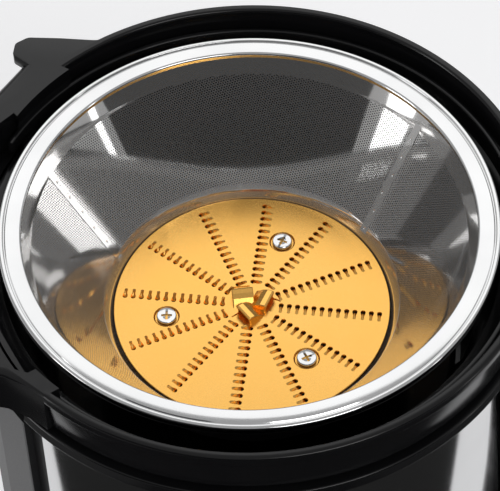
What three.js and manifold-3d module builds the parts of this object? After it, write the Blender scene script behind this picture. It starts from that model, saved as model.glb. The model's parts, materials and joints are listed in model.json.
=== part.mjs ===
// Centrifugal juicer with its lid off: motor base, juice bowl with a pulp chute,
// and a spinning filter basket with a grating disc. Millimetres, +Z up.
// The origin is on the bench, under the spin axis. +X is the front (spout and
// knob), -X the rear, where the pulp leaves.
import * as THREE from 'three';
import { mergeVertices } from 'three/addons/utils/BufferGeometryUtils.js';
import Module from 'manifold-3d';

const wasm = await Module();
wasm.setup();

// ---- Driving dimensions -------------------------------------------------
const RIM_HEIGHT = 236;          // top face of the basket rim above the bench
const RIM_RADIUS = 70;           // outer edge of the basket rim
const RIM_BAND = 6.6;            // width of the rim's flat band
const DISC_RADIUS = 40;          // grating disc
const DISC_DROP = 38.6;          // disc face below the rim
const LIP_RADIUS = 81.2;         // outer edge of the bowl
const LIP_RISE = 2.4;            // bowl lip above the basket rim
const BASE_RADIUS = 80.8;        // outside of the steel side panels
const REAR_FLAT = 74.6;          // distance of the flat rear face from the axis
const REACH = 108;               // chute end behind, spout tip in front
const GAP = 0.3;                 // clearance between neighbouring pieces
const SHEET = 0.6;               // steel sheet of the side panels
const WALL = 2.6;                // moulded plastic wall
const SIDES = 36;                // facets of the large round pieces
const SMALL_SIDES = 16;          // facets of the small round pieces

const TRIM_TOP = RIM_HEIGHT - 14.2;
const TRIM_BOTTOM = RIM_HEIGHT - 18;
const DECK_TOP = RIM_HEIGHT - 64;
const SHELL_BOTTOM = 6;
const PANEL_BOTTOM = 15;

// ---- Materials ------------------------------------------------------------
const finish = (color, roughness, metalness) =>
  new THREE.MeshStandardMaterial({ color, roughness, metalness });
const blackPlastic = finish(0x17171a, 0.3, 0);
const satinPlastic = finish(0x232326, 0.5, 0);
const whitePlastic = finish(0xd8d6cf, 0.5, 0);
const rubber = finish(0x151515, 0.85, 0);
const polishedSteel = finish(0xd2d4d6, 0.14, 1);
const filterSteel = finish(0xc4c6c8, 0.25, 1);
const goldCoating = finish(0xd99a2b, 0.3, 1);
const castAlloy = finish(0xa9abad, 0.5, 1);
const coreSteel = finish(0x6f7276, 0.5, 1);
const copper = finish(0xb0643a, 0.4, 1);
const brass = finish(0xc2a14d, 0.4, 1);
const carbon = finish(0x2a2a2b, 0.7, 0);

// ---- Solid helpers ----------------------------------------------------------
// A closed geometry as a solid, its faces turned outwards if they are not.
function solid(geometry) {
  const bare = geometry.clone();
  bare.deleteAttribute('normal');
  bare.deleteAttribute('uv');
  const merged = mergeVertices(bare, 1e-4);
  const vertProperties = new Float32Array(merged.attributes.position.array);
  const triVerts = [];
  const index = merged.index.array;
  for (let i = 0; i < index.length; i += 3) {
    const [a, b, c] = [index[i], index[i + 1], index[i + 2]];
    if (a !== b && b !== c && a !== c) triVerts.push(a, b, c);
  }
  const corner = (k) => new THREE.Vector3().fromArray(vertProperties, 3 * k);
  let volume = 0;
  for (let i = 0; i < triVerts.length; i += 3) {
    const [a, b, c] = [corner(triVerts[i]), corner(triVerts[i + 1]), corner(triVerts[i + 2])];
    volume += a.dot(b.cross(c));
  }
  if (volume < 0) triVerts.reverse();
  return new wasm.Manifold(new wasm.Mesh({
    numProp: 3, vertProperties, triVerts: new Uint32Array(triVerts),
  }));
}

function geometryOf(body) {
  const mesh = body.getMesh();
  const geometry = new THREE.BufferGeometry();
  geometry.setAttribute('position', new THREE.BufferAttribute(mesh.vertProperties, 3));
  geometry.setIndex(new THREE.BufferAttribute(mesh.triVerts, 1));
  geometry.computeVertexNormals();
  return geometry;
}

const join = (...bodies) => bodies.reduce((whole, body) => whole.add(body));
const cut = (body, ...tools) => tools.reduce((rest, tool) => rest.subtract(tool), body);

// A profile of [radius, height] points turned round the Z axis.
function turned(points, sides = SIDES) {
  const outline = points.map(([r, z]) => new THREE.Vector2(r, z));
  if (points[0][0] > 0) outline.push(outline[0].clone());
  return solid(new THREE.LatheGeometry(outline, sides).rotateX(Math.PI / 2));
}

const ring = (inner, outer, low, high, sides = SIDES) =>
  turned([[inner, low], [outer, low], [outer, high], [inner, high]], sides);

const rod = (radius, low, high, sides = SMALL_SIDES) =>
  turned([[0, low], [radius, low], [radius, high], [0, high]], sides);

function block(x0, x1, y0, y1, z0, z1) {
  const box = new THREE.BoxGeometry(x1 - x0, y1 - y0, z1 - z0);
  return solid(box.translate((x0 + x1) / 2, (y0 + y1) / 2, (z0 + z1) / 2));
}

// A plan outline (XY) pulled up from low to high.
function pulledUp(outline, low, high, curveSegments = 8) {
  const shape = Array.isArray(outline)
    ? new THREE.Shape(outline.map(([x, y]) => new THREE.Vector2(x, y))) : outline;
  const options = { depth: high - low, bevelEnabled: false, curveSegments };
  return solid(new THREE.ExtrudeGeometry(shape, options).translate(0, 0, low));
}

// A side outline (XZ) pulled along Y from y0 to y1.
function pulledAcross(outline, y0, y1) {
  const shape = new THREE.Shape(outline.map(([x, z]) => new THREE.Vector2(x, z)));
  const options = { depth: y1 - y0, bevelEnabled: false };
  return solid(new THREE.ExtrudeGeometry(shape, options).rotateX(Math.PI / 2).translate(0, y1, 0));
}

// A front outline (YZ) pulled along X from x0 to x1.
function pulledForward(outline, x0, x1) {
  const shape = new THREE.Shape(outline.map(([y, z]) => new THREE.Vector2(y, z)));
  const options = { depth: x1 - x0, bevelEnabled: false };
  const geometry = new THREE.ExtrudeGeometry(shape, options);
  return solid(geometry.rotateX(Math.PI / 2).rotateZ(Math.PI / 2).translate(x0, 0, 0));
}

// A wedge of the XY plane between two angles in degrees, as a tall prism.
function wedge(from, to, radius, low, high) {
  const steps = Math.max(2, Math.ceil(Math.abs(to - from) / 20));
  const outline = [[0, 0]];
  for (let i = 0; i <= steps; i += 1) outline.push(polar(radius, from + ((to - from) * i) / steps));
  return pulledUp(outline, low, high);
}

function polar(radius, degrees) {
  const angle = THREE.MathUtils.degToRad(degrees);
  return [radius * Math.cos(angle), radius * Math.sin(angle)];
}

// A closed ring sector with square ends.
function arcWall(inner, outer, from, to, low, high, steps) {
  const outline = [];
  for (let i = 0; i <= steps; i += 1) outline.push(polar(outer, from + ((to - from) * i) / steps));
  for (let i = steps; i >= 0; i -= 1) outline.push(polar(inner, from + ((to - from) * i) / steps));
  return pulledUp(outline, low, high);
}

const piece = (group, name, body, material) => {
  const mesh = new THREE.Mesh(body.isBufferGeometry ? body : geometryOf(body), material);
  mesh.name = name;
  group.add(mesh);
  return mesh;
};

const juicer = new THREE.Group();

// ---- Motor base ---------------------------------------------------------------
const PANEL_TO = 135.5;          // rear edge of the steel panels
const COLUMN_FROM = 139.5;       // side edge of the black rear column
const CORE_RADIUS = BASE_RADIUS - SHEET - GAP;
const FRONT_TOP_RADIUS = 85;
const FRONT_BOTTOM_RADIUS = 101;
// Half width of the front column at heights above the bench.
const FRONT_SIDES = [
  [29, 6], [30, 45], [32.5, 95], [38, 153], [43, 188], [46.5, 215], [48, TRIM_TOP],
];
const SPOUT_HALF_WIDTH = 15;
const CORNERS = [45, 135, 225, 315];  // where the feet and the bottom screws stand
const MOUNT_ANGLES = [90, 210, 330];  // where the motor hangs from the deck
const MOUNT_CIRCLE = 34;
const KNOB_HEIGHT = 110;
const REAR_WALL = 2.4;           // thickness of the flat rear wall
const FOOT_CIRCLE = 56;
const POST_CIRCLE = 71;          // circle of the screws that hold the bottom plate

const frontPrism = (grow, low, high, x0, x1) => {
  const right = FRONT_SIDES.map(([half, z], i) =>
    [half + grow, i === 0 ? low : i === FRONT_SIDES.length - 1 ? high : z]);
  const left = [...right].reverse().map(([half, z]) => [-half, z]);
  return pulledForward([...right, ...left], x0, x1);
};
const spoutNotch = (grow) =>
  block(50, 130, -SPOUT_HALF_WIDTH - grow, SPOUT_HALF_WIDTH + grow, DECK_TOP + 1, RIM_HEIGHT);

function baseShell() {
  const outside = join(
    ring(CORE_RADIUS - 3.2, CORE_RADIUS, SHELL_BOTTOM, TRIM_BOTTOM),
    ring(CORE_RADIUS - 3.2, BASE_RADIUS + 0.6, SHELL_BOTTOM, PANEL_BOTTOM - GAP),
    rod(CORE_RADIUS - 1, DECK_TOP - 3, DECK_TOP, SIDES),
    ring(CORE_RADIUS - 3.2, BASE_RADIUS + 1.4, SHELL_BOTTOM, TRIM_BOTTOM)
      .intersect(wedge(COLUMN_FROM, 360 - COLUMN_FROM, 140, 0, RIM_HEIGHT)),
  );
  const behind = block(-140, -REAR_FLAT, -140, 140, -1, RIM_HEIGHT + 10);
  const half = Math.sqrt((CORE_RADIUS - 1) ** 2 - (REAR_FLAT - REAR_WALL) ** 2);
  const rearWall = block(-REAR_FLAT, -REAR_FLAT + REAR_WALL, -half, half, SHELL_BOTTOM, TRIM_BOTTOM);
  const screwPosts = CORNERS.map((angle) => {
    const [x, y] = polar(POST_CIRCLE, angle);
    return rod(6.2, 11, 34, 16).translate([x, y, 0]);
  });
  const bores = CORNERS.map((angle) => {
    const [x, y] = polar(POST_CIRCLE, angle);
    return rod(1.7, 10, 26, 12).translate([x, y, 0]);
  });
  const shaftHole = rod(9.5, DECK_TOP - 10, DECK_TOP + 1);
  const cordHole = pulledAcrossRod(6.3, -REAR_FLAT - 5, -REAR_FLAT + 10, -20, 26);
  const switchHole = pulledAcrossRod(11, CORE_RADIUS - 10, CORE_RADIUS + 5, 0, KNOB_HEIGHT);
  const mountHoles = MOUNT_ANGLES.map((angle) => {
    const [x, y] = polar(MOUNT_CIRCLE, angle);
    return rod(2.2, DECK_TOP - 10, DECK_TOP + 1, 12).translate([x, y, 0]);
  });
  return cut(join(outside.subtract(behind), rearWall, ...screwPosts), ...bores, shaftHole,
    cordHole, switchHole, ...mountHoles, spoutNotch(0), pinBore(1.9));
}

// A rod lying along X at a given Y and Z.
function pulledAcrossRod(radius, x0, x1, y, z, sides = SMALL_SIDES) {
  const geometry = new THREE.CylinderGeometry(radius, radius, x1 - x0, sides);
  return solid(geometry.rotateZ(Math.PI / 2).translate((x0 + x1) / 2, y, z));
}

// The interlock pin stands just inside the shell's wall, under the bowl's ledge.
const PIN_PLACE = polar(CORE_RADIUS - 5.9, 115);
function pinBore(radius) {
  return rod(radius, DECK_TOP - 10, DECK_TOP + 30, 16).translate([...PIN_PLACE, 0]);
}

function sidePanel(sign) {
  const sheet = ring(CORE_RADIUS + GAP / 2, BASE_RADIUS, PANEL_BOTTOM, TRIM_BOTTOM - GAP, 96);
  const angles = sign < 0 ? [360 - PANEL_TO, 360] : [0, PANEL_TO];
  const strip = sheet.intersect(wedge(angles[0], angles[1], 140, 0, RIM_HEIGHT));
  return strip.subtract(frontPrism(GAP, 0, RIM_HEIGHT, 0, 140));
}

function topTrim(sign) {
  const body = turned([
    [CORE_RADIUS - 3.2, TRIM_BOTTOM + GAP], [BASE_RADIUS + 1.2, TRIM_BOTTOM + GAP],
    [BASE_RADIUS + 0.8, TRIM_TOP], [CORE_RADIUS - 3.2, TRIM_TOP],
  ]);
  const angles = sign < 0 ? [360 - COLUMN_FROM, 350] : [10, COLUMN_FROM];
  return body.intersect(wedge(angles[0], angles[1], 140, 0, RIM_HEIGHT + 1))
    .subtract(spoutNotch(GAP));
}

function frontColumn() {
  const taper = (offset) => turned([
    [0, SHELL_BOTTOM + offset], [FRONT_BOTTOM_RADIUS - offset, SHELL_BOTTOM + offset],
    [FRONT_TOP_RADIUS - offset, TRIM_BOTTOM - offset], [0, TRIM_BOTTOM - offset],
  ]);
  const outer = taper(0).intersect(frontPrism(0, 0, RIM_HEIGHT, 30, 140));
  const hollow = taper(WALL).intersect(frontPrism(-WALL, SHELL_BOTTOM + WALL, RIM_HEIGHT, 30, 140));
  const behind = rod(BASE_RADIUS + 0.6 + GAP, 0, RIM_HEIGHT, SIDES);
  const knobHole = pulledAcrossRod(6, 80, 130, 0, KNOB_HEIGHT);
  return cut(outer, hollow, behind, knobHole, spoutNotch(0.4));
}

function bottomPlate() {
  const plate = rod(CORE_RADIUS - 3.6, 7, 10, SIDES)
    .subtract(block(-140, -REAR_FLAT + 3.4, -140, 140, 0, 20));
  const slots = [];
  for (let i = 0; i < 10; i += 1) {
    const slot = block(24, 46, -2, 2, 0, 20);
    slots.push(slot.rotate([0, 0, i * 36]));
  }
  const holes = CORNERS.flatMap((angle) => {
    const [x, y] = polar(POST_CIRCLE, angle);
    const [u, v] = polar(FOOT_CIRCLE, angle);
    return [rod(2, 0, 20, 12).translate([x, y, 0]), rod(4.3, 0, 20, 16).translate([u, v, 0])];
  });
  return cut(plate, ...slots, ...holes);
}

piece(juicer, 'base_shell', baseShell(), satinPlastic);
piece(juicer, 'bottom_plate', bottomPlate(), satinPlastic);
piece(juicer, 'side_panel_near', sidePanel(-1), polishedSteel);
piece(juicer, 'side_panel_far', sidePanel(1), polishedSteel);
piece(juicer, 'top_trim_near', topTrim(-1), blackPlastic);
piece(juicer, 'top_trim_far', topTrim(1), blackPlastic);
piece(juicer, 'front_column', frontColumn(), blackPlastic);

CORNERS.forEach((angle, i) => {
  const foot = turned([[0, 0], [9, 0], [10, 1.5], [10, 6.6], [4, 6.6], [4, 9.4], [0, 9.4]], SMALL_SIDES);
  const footMesh = piece(juicer, `foot_${i + 1}`, foot, rubber);
  footMesh.position.set(...polar(FOOT_CIRCLE, angle), 0);
  const screw = turned([[0, 5], [3.4, 5], [3.4, 6.7], [1.4, 6.7], [1.4, 20], [0, 20]], 12);
  const screwMesh = piece(juicer, `base_screw_${i + 1}`, screw, coreSteel);
  screwMesh.position.set(...polar(POST_CIRCLE, angle), 0);
});

// A rubber grommet lines the hole where the mains lead enters.
const grommet = turned([[3.6, -5.4], [8.6, -5.4], [8.6, -3.4], [6, -3.4], [6, 0.6], [3.6, 0.6]], SMALL_SIDES);
const grommetMesh = piece(juicer, 'cord_grommet', grommet, rubber);
grommetMesh.rotation.y = Math.PI / 2;
grommetMesh.position.set(-REAR_FLAT + REAR_WALL + GAP, -20, 26);

// ---- Speed control ----------------------------------------------------------------
const COLUMN_FACE = THREE.MathUtils.mapLinear(
  KNOB_HEIGHT, SHELL_BOTTOM, TRIM_BOTTOM, FRONT_BOTTOM_RADIUS, FRONT_TOP_RADIUS);
const switchBody = join(
  block(58, 74, -12, 12, KNOB_HEIGHT - 12, KNOB_HEIGHT + 12),
  pulledAcrossRod(8, 73, 80, 0, KNOB_HEIGHT),
).subtract(pulledAcrossRod(3.4, 66, 90, 0, KNOB_HEIGHT));
piece(juicer, 'speed_switch', switchBody, satinPlastic);
const spindle = pulledAcrossRod(3, 67, COLUMN_FACE + 5, 0, KNOB_HEIGHT, 12);
piece(juicer, 'switch_spindle', spindle, coreSteel);
const knobFront = COLUMN_FACE + 13;
const knobBody = join(
  pulledAcrossRod(19, COLUMN_FACE + 1.9, knobFront - 3, 0, KNOB_HEIGHT, 32),
  block(knobFront - 4, knobFront, -3.5, 3.5, KNOB_HEIGHT - 17, KNOB_HEIGHT + 17),
).subtract(pulledAcrossRod(3.3, 60, COLUMN_FACE + 5.4, 0, KNOB_HEIGHT, 12));
piece(juicer, 'speed_knob', knobBody, blackPlastic);

// ---- Interlock: the shut lid presses the bowl on to a pin that closes a switch ---------
const pin = join(
  rod(1.5, DECK_TOP - 14, RIM_HEIGHT - 16, 12),
  rod(2.3, DECK_TOP - 6.5, DECK_TOP - 4, 12),
).translate([...PIN_PLACE, 0]);
piece(juicer, 'interlock_pin', pin, whitePlastic);
const pinSwitch = block(-5, 5, -9, 9, DECK_TOP - 30, DECK_TOP - 17.6)
  .rotate([0, 0, 115]).translate([...PIN_PLACE.map((v) => v * 0.94), 0]);
piece(juicer, 'interlock_switch', pinSwitch, satinPlastic);

// ---- Motor: a series motor standing on end, hung from the deck -------------------------
const CORE_LOW = 84;
const CORE_HIGH = 128;
const motor = new THREE.Group();
juicer.add(motor);

const statorCore = cut(
  pulledUp([[-42, -30], [-30, -42], [30, -42], [42, -30], [42, 30], [30, 42], [-30, 42], [-42, 30]],
    CORE_LOW, CORE_HIGH),
  rod(24, CORE_LOW - 1, CORE_HIGH + 1, 32),
  ...[1, -1].flatMap((side) => [
    block(22 * side - 8, 22 * side + 8, 17, 27, CORE_LOW - 1, CORE_HIGH + 1),
    block(22 * side - 8, 22 * side + 8, -27, -17, CORE_LOW - 1, CORE_HIGH + 1),
  ]),
);
piece(motor, 'stator_core', statorCore, coreSteel);
[1, -1].forEach((side, i) => {
  const coil = cut(
    block(-29.5, 29.5, 17.5, 26.5, CORE_LOW - 12, CORE_HIGH + 12),
    block(-14.3, 14.3, 10, 30, CORE_LOW - GAP, CORE_HIGH + GAP),
    rod(24.4, CORE_LOW - 20, CORE_HIGH + 20, 32),
  );
  const mesh = piece(motor, `field_coil_${i + 1}`, coil, copper);
  mesh.rotation.z = side > 0 ? 0 : Math.PI;
});

const bracketUpper = cut(
  join(
    rod(20, CORE_HIGH + 16, CORE_HIGH + 24, 24),
    ...MOUNT_ANGLES.map((angle) =>
      block(0, 40, -6, 6, CORE_HIGH + 18, CORE_HIGH + 22).rotate([0, 0, angle])),
    ...[0, 180].map((angle) =>
      block(12, 38, -5, 5, CORE_HIGH + 18, CORE_HIGH + 22).rotate([0, 0, angle])),
    ...[0, 180].map((angle) =>
      block(33, 38, -5, 5, CORE_HIGH + GAP, CORE_HIGH + 19).rotate([0, 0, angle])),
  ),
  rod(8.3, CORE_HIGH + 10, CORE_HIGH + 21.3),
  rod(5, CORE_HIGH + 10, CORE_HIGH + 30),
  ...MOUNT_ANGLES.map((angle) =>
    rod(2.2, CORE_HIGH + 10, CORE_HIGH + 30, 12).translate([...polar(MOUNT_CIRCLE, angle), 0])),
);
piece(motor, 'motor_bracket_upper', bracketUpper, castAlloy);
const bracketLower = cut(
  join(
    rod(16, 50, 58, 24),
    ...[0, 180].map((angle) => block(10, 38, -5, 5, 52, 56).rotate([0, 0, angle])),
    ...[0, 180].map((angle) => block(33, 38, -5, 5, 53, CORE_LOW - GAP).rotate([0, 0, angle])),
  ),
  rod(8.3, 52.7, 70),
  rod(5, 40, 70),
);
piece(motor, 'motor_bracket_lower', bracketLower, castAlloy);
piece(motor, 'bearing_upper', ring(4.3, 8, CORE_HIGH + 15, CORE_HIGH + 21, SMALL_SIDES), coreSteel);
piece(motor, 'bearing_lower', ring(4.3, 8, 53, 59, SMALL_SIDES), coreSteel);

MOUNT_ANGLES.forEach((angle, i) => {
  const low = CORE_HIGH + 22 + GAP;
  const high = DECK_TOP - 3 - GAP;
  const mount = ring(2.2, 7, low, high, SMALL_SIDES);
  const mesh = piece(motor, `motor_mount_${i + 1}`, mount, rubber);
  mesh.position.set(...polar(MOUNT_CIRCLE, angle), 0);
});

[0, 180].forEach((angle, i) => {
  const holder = cut(
    block(15, 32, -6, 6, 64, 76),
    block(10, 40, -4.3, 4.3, 66, 74),
  );
  const brush = block(13.2, 27, -4, 4, 66.3, 73.7);
  piece(motor, `brush_holder_${i + 1}`, holder, brass).rotation.z = THREE.MathUtils.degToRad(angle);
  piece(motor, `carbon_brush_${i + 1}`, brush, carbon).rotation.z = THREE.MathUtils.degToRad(angle);
});

// Turning parts of the motor.
const SHAFT_TOP = DECK_TOP + 16;
piece(motor, 'motor_shaft', rod(4, 24, SHAFT_TOP - 2), coreSteel);
piece(motor, 'armature_core', ring(4.3, 23, CORE_LOW, CORE_HIGH, 32), coreSteel);
piece(motor, 'armature_winding', ring(4.3, 20, CORE_HIGH + GAP, CORE_HIGH + 9, 24), copper);
piece(motor, 'commutator', ring(4.3, 13, 62, CORE_LOW - GAP, 24), copper);
const blades = [];
for (let i = 0; i < 9; i += 1) {
  blades.push(block(9, 34, -1, 1, 30, 44).rotate([0, 0, i * 40]));
}
const fan = cut(join(rod(10, 28, 44, 24), rod(34, 27, 30, 36), ...blades), rod(4.3, 20, 60));
piece(motor, 'cooling_fan', fan, satinPlastic);

// The coupling stands up through the bowl's chimney into the basket's hub.
function starSolid(root, tip, low, high) {
  const outline = [];
  for (let i = 0; i < 12; i += 1) outline.push(polar(i % 2 === 0 ? tip : root, i * 30));
  return pulledUp(outline, low, high);
}
const coupling = cut(
  join(rod(8.6, DECK_TOP + 3, DECK_TOP + 11), starSolid(6.2, 9, DECK_TOP + 10, SHAFT_TOP)),
  rod(4.3, DECK_TOP, SHAFT_TOP - 2 + GAP),
);
piece(motor, 'drive_coupling', coupling, satinPlastic);
const seal = turned([
  [5, DECK_TOP - 1], [9.2, DECK_TOP - 1], [9.2, DECK_TOP + GAP], [11, DECK_TOP + GAP],
  [11, DECK_TOP + 1.2], [4.6, DECK_TOP + 2.4],
], SMALL_SIDES);
piece(motor, 'shaft_seal', seal, rubber);

// ---- Juice bowl -------------------------------------------------------------------------
// Heights in this group are measured from the top face of the basket rim.
const bowlGroup = new THREE.Group();
bowlGroup.position.z = RIM_HEIGHT;
juicer.add(bowlGroup);

const LEDGE_EDGE = 70.3;         // where the pulp ledge drops into the juice chamber
const RIB_INNER = 75.2;
const RIB_OUTER = 76.8;
const CHANNEL_FLOOR = -6;
const FLOOR_DROP = -60;
const SKIRT_BOTTOM = -11.9;

const bowlRound = turned([
  [11.2, FLOOR_DROP - 2], [11.2, -52], [13.4, -52], [13.4, FLOOR_DROP + 1],
  [50, FLOOR_DROP], [58, -57.5], [62.5, -50], [69.6, -16], [LEDGE_EDGE, -12.2],
  [RIB_INNER, -9.8], [RIB_INNER + 0.1, CHANNEL_FLOOR], [78.2, CHANNEL_FLOOR],
  [78.5, 1.4], [79.3, LIP_RISE], [80.4, LIP_RISE], [LIP_RADIUS, 1.6], [LIP_RADIUS, -0.4],
  [80.5, -0.9], [79.9, SKIRT_BOTTOM], [77.8, SKIRT_BOTTOM], [77.4, -9], [73.4, -12.4],
  [71.8, -16.5], [64.6, -51], [59.4, -60], [50, FLOOR_DROP - 2],
]);

// Plan outlines of the pulp chute: the near wall leaves the ring on a tangent,
// the far wall is a broad rounded shoulder that follows the ring further round.
const chuteOuter = [
  [-40, -50], [-55.4, -59.4], [-60.2, -55.5], [-66.2, -52.1], [-74, -50.2], [-90, -48.6],
  [-REACH, -48], [-REACH, 34], [-90, 36], [-80, 41], [-72.5, 49.6], [-66, 59], [-56, 60], [-40, 50],
];
const chuteInner = [
  [-40, -38], [-57.4, -50.2], [-59.6, -51.5], [-65.4, -49.4], [-74, -47.6], [-90, -46],
  [-REACH - 5, -45.4], [-REACH - 5, 23.6], [-90, 24.6], [-80, 28.4], [-70.7, 36.6], [-66.6, 40.6],
  [-60, 32], [-40, 20],
];
const chuteUnderside = [
  [-30, LIP_RISE], [-REACH, LIP_RISE], [-REACH, -31], [-104.8, -31], [-103.2, -26], [-99.6, -19.8],
  [-94, -15.8], [-86.5, -13.6], [-76, -12.8], [-30, -12.8],
];
const chuteHollow = [
  [-30, 20], [-REACH - 5, 20], [-REACH - 5, -35], [-107.6, -35], [-107.6, -30], [-106, -25],
  [-102, -18], [-96, -13.6], [-88, -11.2], [-76, -10.4], [-30, -10.4],
];

const chuteShell = pulledUp(chuteOuter, -40, LIP_RISE)
  .intersect(pulledAcross(chuteUnderside, -90, 90))
  .subtract(rod(76.5, -50, 10, SIDES));
const chuteChannel = pulledUp(chuteInner, -40, 20)
  .intersect(pulledAcross(chuteHollow, -90, 90))
  .subtract(rod(LEDGE_EDGE + 2.4, -50, 20, SIDES));

const rib = arcWall(RIB_INNER, RIB_OUTER, -140, 153.3, CHANNEL_FLOOR - 1, -3.1, 40);
const ear = pulledUp([
  [-44, 68.4], [-54, 69.6], [-63.5, 70.3], [-67.2, 68], [-67.8, 63.5], [-60.5, 57.5],
  [-56, 55.6], [-40, 68.6],
], -1.4, LIP_RISE);
const earWeb = pulledUp([[-50, 64], [-60, 65], [-65, 61], [-62, 55], [-50, 60]], SKIRT_BOTTOM, 0);
const spoutHole = block(55, 75, -10, 10, -57, -44);
const bowl = cut(
  join(bowlRound, chuteShell, cut(join(ear, earWeb), rod(79, -20, 10, SIDES)), rib),
  chuteChannel, spoutHole,
);
piece(bowlGroup, 'juice_bowl', bowl, blackPlastic);

// The spout is a separate trough that plugs into the bowl's wall and runs out
// through the notch in the front column.
const spoutSide = [
  [60.5, -57], [64, -58.4], [95, -61], [100, -68], [REACH - 1, -70], [REACH, -62], [104, -50],
  [97, -42], [60.5, -42],
];
const spoutBore = [
  [40, -55.2], [66, -56.4], [97, -59], [102, -66], [REACH + 8, -74], [REACH + 8, -60],
  [102, -48], [96, -44], [40, -44],
];
const spout = pulledAcross(spoutSide, -11.6, 11.6)
  .subtract(pulledAcross(spoutBore, -9.6, 9.6))
  .subtract(rod(66.9, -50.4, -30, SIDES))
  .subtract(turned([[0, -70], [66, -70], [66, -62], [66.2, -52], [67, -48], [68, -43], [69.5, -30], [0, -30]]));
piece(bowlGroup, 'juice_spout', spout, blackPlastic);

// ---- Filter basket ----------------------------------------------------------------------
const basketGroup = new THREE.Group();
basketGroup.position.z = RIM_HEIGHT;
juicer.add(basketGroup);

const rimInner = RIM_RADIUS - RIM_BAND;
const basketRim = turned([
  [rimInner, -1.6], [rimInner + 0.1, -0.5], [rimInner + 0.7, -0.2], [68.1, -0.35], [68.4, 0],
  [69.4, 0], [RIM_RADIUS, -0.7], [RIM_RADIUS, -2.4], [69.3, -2.4], [69.2, -1.2], [rimInner + 1.2, -1.2],
  [rimInner + 0.9, -1.9],
]);
piece(basketGroup, 'basket_rim', basketRim, polishedSteel);
const meshCone = turned([
  [63, -2.3], [63.8, -2.3], [61.8, -6.5], [42.6, -34.4], [41.4, -38.9], [41.4, -41.6], [40.6, -41.6],
  [40.6, -38.8], [41.8, -34.1], [61, -6.3],
]);
piece(basketGroup, 'filter_cone', meshCone, filterSteel);
const DISC_TOP = -DISC_DROP;
const DISC_THICKNESS = 0.9;
const SCREW_RADIUS = 24.9;
const SCREW_ANGLES = [67.5, 187.5, 307.5];
const baseTop = DISC_TOP - DISC_THICKNESS - GAP;
const basketBase = cut(
  turned([
    [0, baseTop], [40.2, baseTop], [40.2, -42.2], [42.2, -42.2], [42.2, -38.4], [43.6, -38.4],
    [43.6, -44.6], [16.4, -45.4], [0, -45.4],
  ]),
  ...SCREW_ANGLES.map((angle) => rod(1.9, -60, -30, 12).translate([...polar(SCREW_RADIUS, angle), 0])),
);
piece(basketGroup, 'basket_base', basketBase, satinPlastic);
const HUB_TOP = -45.4 - GAP;
const driveHub = cut(
  turned([[0, HUB_TOP], [30, HUB_TOP], [30, -48.5], [16.4, -49], [16.4, -57], [14, -57],
    [14, -51.6], [0, -51.6]]),
  starSolid(6.6, 9.5, -70, -43.9 - 2.6),
  ...SCREW_ANGLES.map((angle) => rod(1.1, -60, -30, 12).translate([...polar(SCREW_RADIUS, angle), 0])),
);
piece(basketGroup, 'drive_hub', driveHub, satinPlastic);

// Grating disc: a thin plate with twelve rows of pierced teeth and three
// raised cutters round the middle.
const TOOTH_ROWS = 12;
const TEETH_PER_ROW = 13;
const TOOTH_PHASE = 81.5;
const TOOTH_HEIGHT = 0.9;
// Each tooth is a low three-sided spike whose tip leans in the direction of travel.
function tooth(radius, degrees) {
  const corners = [-1.8, 0, -0.1, 1.2, 0.8, -0.1, 1.2, -0.8, -0.1, 1.7, 0, TOOTH_HEIGHT];
  const spike = new THREE.BufferGeometry();
  spike.setAttribute('position', new THREE.Float32BufferAttribute(corners, 3));
  spike.setIndex([0, 2, 1, 0, 1, 3, 1, 2, 3, 2, 0, 3]);
  return solid(spike).rotate([0, 0, -90]).translate([radius, 0, DISC_TOP]).rotate([0, 0, degrees]);
}
const teeth = [];
for (let row = 0; row < TOOTH_ROWS; row += 1) {
  for (let i = 0; i < TEETH_PER_ROW; i += 1) {
    teeth.push(tooth(8.5 + i * 2.38, TOOTH_PHASE + (row * 360) / TOOTH_ROWS));
  }
}
const cutters = [95, 215, 335].map((angle) => {
  const hood = pulledAcross([[-2.2, -0.4], [3.2, -0.4], [3.6, 2.4], [2.4, 2.5]], -3, 3);
  return hood.translate([1.2, 2.3, DISC_TOP]).rotate([0, 0, angle]);
});
const disc = cut(
  join(rod(DISC_RADIUS, DISC_TOP - DISC_THICKNESS, DISC_TOP, SIDES), ...teeth, ...cutters),
  ...SCREW_ANGLES.map((angle) => rod(1.9, -60, -30, 12).translate([...polar(SCREW_RADIUS, angle), 0])),
  ...SCREW_ANGLES.map((angle) => rod(3.8, -39, -30, 16).translate([...polar(SCREW_RADIUS, angle), 0])),
);
piece(basketGroup, 'grating_disc', disc, goldCoating);

SCREW_ANGLES.forEach((angle, i) => {
  const head = DISC_TOP - 0.4 + GAP;
  const screw = turned([
    [0, -48], [0.8, -48], [0.8, -45.3], [1.5, -45], [1.5, head - 0.35], [2.9, head], [2.9, head + 0.5],
    [2, head + 1], [0, head + 1.1]], 16);
  const mesh = piece(basketGroup, `disc_screw_${i + 1}`, screw, polishedSteel);
  mesh.position.set(...polar(SCREW_RADIUS, angle), 0);
});

export default juicer;
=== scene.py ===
# %% [markdown]
# # A centrifugal juicer, looked into from above
#
# The juicer stands on a bench with its lid off. A conical filter basket sits in a black juice bowl on a
# motor base. The CAD model is the frame: it fixes every size and place, and tells which pieces move
# together. This file gives the pieces their fine shape and their finish. First the frame is loaded, and a
# few sizes are read from the boxes of its parts.

# %% The frame
import json
import math
from contextlib import contextmanager

import bpy
import numpy as np
from mathutils import Matrix, Vector

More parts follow.
